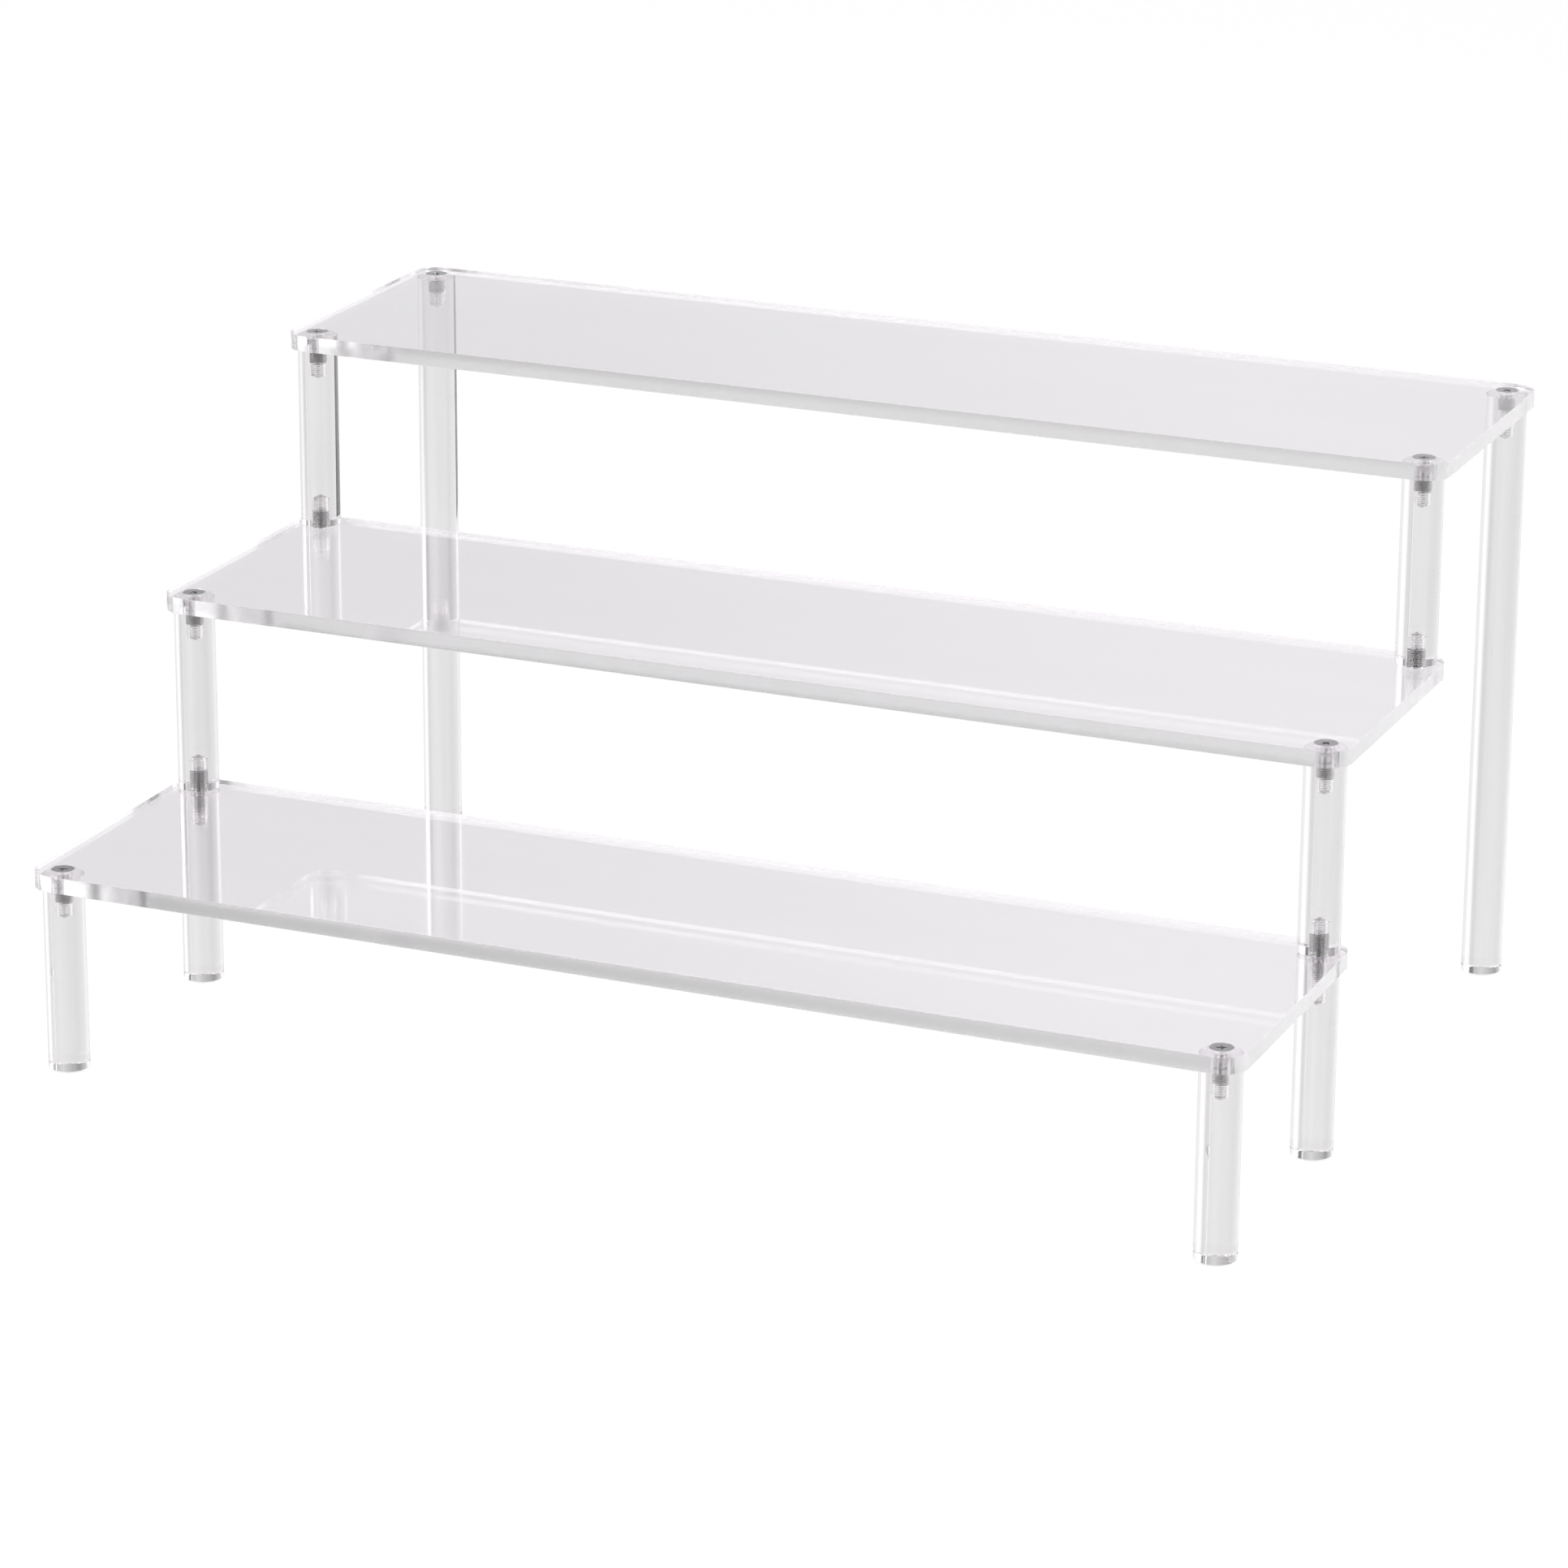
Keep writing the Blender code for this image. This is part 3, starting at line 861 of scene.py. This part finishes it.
class RISER_OT_stage(bpy.types.Operator):
    """Set up the white floor, the studio's light and the camera"""

    bl_idname = "riser.stage"
    bl_label = "Stage"

    def execute(self, context):
        self.make_floor()
        self.make_card()
        self.make_world()
        self.make_lamps()
        self.make_camera()
        render = context.scene.cycles
        render.max_bounces = BOUNCES
        render.glossy_bounces = BOUNCES
        render.transmission_bounces = BOUNCES
        context.scene.view_settings.view_transform = "Standard"
        return {"FINISHED"}

    def make_floor(self):
        """A round white floor that keeps the riser's faint shadow."""
        setting = studio()
        shape = bmesh.new()
        bmesh.ops.create_circle(shape, cap_ends=True, segments=FLOOR_SIDES,
                                radius=setting.floor_radius)
        bmesh.ops.translate(shape, vec=(0, 0, -setting.floor_drop), verts=shape.verts)
        material, tree = new_material("studio floor")
        floor = solid("studio_floor", shape, material)
        rays = add_node(tree, "ShaderNodeLightPath", (-900, 200))
        through = self.passed_on(tree, rays)
        shown = self.or_camera(tree, rays, through)
        matte = add_node(tree, "ShaderNodeBsdfDiffuse", (-300, 0))
        matte.inputs["Color"].default_value = scaled(setting.floor_colour)
        white = add_node(tree, "ShaderNodeEmission", (-300, -160), {"Strength": 1.0})
        share = add_node(tree, "ShaderNodeMath", (-300, 260),
                         {1: 1 - setting.shadow_share}, operation="MULTIPLY")
        mixed = add_node(tree, "ShaderNodeMixShader", (0, 0))
        sheen = add_node(tree, "ShaderNodeMath", (0, 260), {1: setting.floor_sheen},
                         operation="MULTIPLY")
        mirror = add_node(tree, "ShaderNodeBsdfGlossy", (0, -160),
                          {"Roughness": FLOOR_ROUGHNESS})
        polished = add_node(tree, "ShaderNodeMixShader", (240, 0))
        end = add_node(tree, "ShaderNodeOutputMaterial", (480, 0))
        link(tree,
             (shown, share.inputs[0]),
             (share.outputs["Value"], mixed.inputs["Fac"]),
             (matte.outputs["BSDF"], mixed.inputs[1]),
             (white.outputs["Emission"], mixed.inputs[2]),
             (through, sheen.inputs[0]),
             (sheen.outputs["Value"], polished.inputs["Fac"]),
             (mixed.outputs["Shader"], polished.inputs[1]),
             (mirror.outputs["BSDF"], polished.inputs[2]),
             (polished.outputs["Shader"], end.inputs["Surface"]))

    def make_card(self):
        """A small dark card on the floor, left of the picture, that the tall rods catch."""
        shape = bmesh.new()
        bmesh.ops.create_grid(shape, x_segments=1, y_segments=1, size=CARD_WIDTH / 2)
        place = Matrix.Translation(CARD_PLACE) @ Matrix.Rotation(CARD_TURN, 4, "Z")
        bmesh.ops.transform(shape, matrix=place, verts=shape.verts)
        material, tree = new_material("studio card")
        card = solid("studio_card", shape, material)
        rays = add_node(tree, "ShaderNodeLightPath", (-900, 200))
        through = self.passed_on(tree, rays)
        matte = add_node(tree, "ShaderNodeBsdfDiffuse", (0, 0))
        matte.inputs["Color"].default_value = grey(CARD_TONE)
        unseen = add_node(tree, "ShaderNodeBsdfTransparent", (0, -160))
        mixed = add_node(tree, "ShaderNodeMixShader", (200, 0))
        end = add_node(tree, "ShaderNodeOutputMaterial", (400, 0))
        link(tree,
             (through, mixed.inputs["Fac"]),
             (unseen.outputs["BSDF"], mixed.inputs[1]),
             (matte.outputs["BSDF"], mixed.inputs[2]),
             (mixed.outputs["Shader"], end.inputs["Surface"]))

    def passed_on(self, tree, rays):
        """1 for the rays that metal and glass pass on."""
        either = add_node(tree, "ShaderNodeMath", (-700, 200), operation="ADD", use_clamp=True)
        link(tree,
             (rays.outputs["Is Glossy Ray"], either.inputs[0]),
             (rays.outputs["Is Transmission Ray"], either.inputs[1]))
        return either.outputs["Value"]

    def or_camera(self, tree, rays, through):
        """1 for the rays that metal and glass pass on, and for the camera's own."""
        either = add_node(tree, "ShaderNodeMath", (-500, 200), operation="ADD", use_clamp=True)
        link(tree,
             (through, either.inputs[0]),
             (rays.outputs["Is Camera Ray"], either.inputs[1]))
        return either.outputs["Value"]

    def make_world(self):
        """A white backdrop with greyer walls above it, which only metal and glass show."""
        world = bpy.data.worlds.new("studio")
        bpy.context.scene.world = world
        world.use_nodes = True
        tree = world.node_tree
        tree.nodes.clear()
        rays = add_node(tree, "ShaderNodeLightPath", (-900, 500))
        shown = self.or_camera(tree, rays, self.passed_on(tree, rays))
        towards = add_node(tree, "ShaderNodeTexCoord", (-1500, 0))
        parts = add_node(tree, "ShaderNodeSeparateXYZ", (-1300, 0))
        turn = add_node(tree, "ShaderNodeMath", (-1100, 0), operation="ARCTAN2")
        turns = add_node(tree, "ShaderNodeMath", (-900, 0), {1: 1 / math.tau, 2: 0.5},
                         operation="MULTIPLY_ADD")
        walls = add_node(tree, "ShaderNodeValToRGB", (-700, 0))
        walls.color_ramp.interpolation = "EASE"
        brightest = max(tone for degrees, tone in WALL_TONES)
        stops = walls.color_ramp.elements
        while len(stops) < len(WALL_TONES):
            stops.new(0.5)
        for stop, (degrees, tone) in zip(stops, WALL_TONES):
            stop.position = degrees / 360 + 0.5
            stop.color = grey(tone / brightest)
        lit = add_node(tree, "ShaderNodeVectorMath", (-550, 100), operation="SCALE")
        lit.inputs["Scale"].default_value = brightest
        rise = add_node(tree, "ShaderNodeMapRange", (-700, -300),
                        {"From Min": WALL_FOOT, "From Max": WALL_FULL},
                        interpolation_type="SMOOTHSTEP")
        backdrop = add_node(tree, "ShaderNodeMix", (-400, 0), data_type="RGBA")
        backdrop.inputs["A"].default_value = grey(1)
        camera_white = add_node(tree, "ShaderNodeMix", (-200, 0), data_type="RGBA")
        camera_white.inputs["B"].default_value = grey(1)
        light = add_node(tree, "ShaderNodeMix", (0, 0), data_type="RGBA")
        light.inputs["A"].default_value = grey(ROOM_TONE)
        back = add_node(tree, "ShaderNodeBackground", (200, 0), {"Strength": 1.0})
        end = add_node(tree, "ShaderNodeOutputWorld", (400, 0))
        link(tree,
             (towards.outputs["Generated"], parts.inputs["Vector"]),
             (parts.outputs["X"], turn.inputs[0]),
             (parts.outputs["Y"], turn.inputs[1]),
             (turn.outputs["Value"], turns.inputs[0]),
             (turns.outputs["Value"], walls.inputs["Fac"]),
             (parts.outputs["Z"], rise.inputs["Value"]),
             (rise.outputs["Result"], backdrop.inputs["Factor"]),
             (walls.outputs["Color"], lit.inputs[0]),
             (lit.outputs["Vector"], backdrop.inputs["B"]),
             (rays.outputs["Is Camera Ray"], camera_white.inputs["Factor"]),
             (backdrop.outputs["Result"], camera_white.inputs["A"]),
             (shown, light.inputs["Factor"]),
             (camera_white.outputs["Result"], light.inputs["B"]),
             (light.outputs["Result"], back.inputs["Color"]),
             (back.outputs["Background"], end.inputs["Surface"]))

    def make_lamps(self):
        """A large soft lamp at the front left and a weaker one at the right."""
        for name, (place, width, share) in LAMPS.items():
            data = bpy.data.lights.new(name, "AREA")
            data.shape = "DISK"
            data.size = width
            data.energy = studio().lamp_power * share
            lamp = add_object(name, data)
            lamp.location = place
            look = LAMP_TARGET - Vector(place)
            lamp.rotation_euler = look.to_track_quat("-Z", "Y").to_euler()

    def make_camera(self):
        """The camera at the photograph's viewing angle."""
        setting = studio()
        low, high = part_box("front_leg_left")
        pivot = Vector((0, (low.y + high.y) / 2, 0))
        turned = Matrix.Rotation(setting.azimuth, 3, "Z")
        back = turned @ Vector((0, -math.cos(setting.elevation), math.sin(setting.elevation)))
        level = turned @ Vector((1, 0, 0))
        rolled = Matrix.Rotation(setting.roll, 3, back)
        right = rolled @ level
        up = rolled @ back.cross(level)
        data = bpy.data.cameras.new("camera")
        data.lens = setting.lens
        data.sensor_width = SENSOR_WIDTH
        data.clip_start = CLIP_START
        camera = add_object("camera", data)
        place = (pivot + back * setting.distance + right * setting.shift_right
                 + up * setting.shift_up)
        axes = Matrix((right, up, back)).transposed().to_4x4()
        camera.matrix_world = Matrix.Translation(place) @ axes
        bpy.context.scene.camera = camera


class RISER_PT_panel(bpy.types.Panel):
    """The riser's settings and the buttons that make its pieces"""

    bl_label = "Display riser"
    bl_idname = "RISER_PT_panel"
    bl_space_type = "VIEW_3D"
    bl_region_type = "UI"
    bl_category = "Riser"

    def draw(self, context):
        layout = self.layout
        for operator in OPERATORS:
            layout.operator(operator.bl_idname)
        for group in (sizes(), colours(), studio()):
            box = layout.box()
            for name in group.__annotations__:
                box.prop(group, name)


OPERATORS = (RISER_OT_shelves, RISER_OT_rods, RISER_OT_screws, RISER_OT_studs, RISER_OT_stage)
CLASSES = (RiserSizes, RiserColours, RiserStudio, *OPERATORS, RISER_PT_panel)


def register():
    """Make the classes and their settings known."""
    for made in CLASSES:
        bpy.utils.register_class(made)
    bpy.types.Scene.riser_sizes = PointerProperty(type=RiserSizes)
    bpy.types.Scene.riser_colours = PointerProperty(type=RiserColours)
    bpy.types.Scene.riser_studio = PointerProperty(type=RiserStudio)


def unregister():
    """Take them away again."""
    del bpy.types.Scene.riser_studio
    del bpy.types.Scene.riser_colours
    del bpy.types.Scene.riser_sizes
    for made in reversed(CLASSES):
        bpy.utils.unregister_class(made)


def main():
    """Make every piece and the stage."""
    register()
    bpy.ops.riser.shelves()
    bpy.ops.riser.rods()
    bpy.ops.riser.screws()
    bpy.ops.riser.studs()
    bpy.ops.riser.stage()


if __name__ == "__main__":
    main()
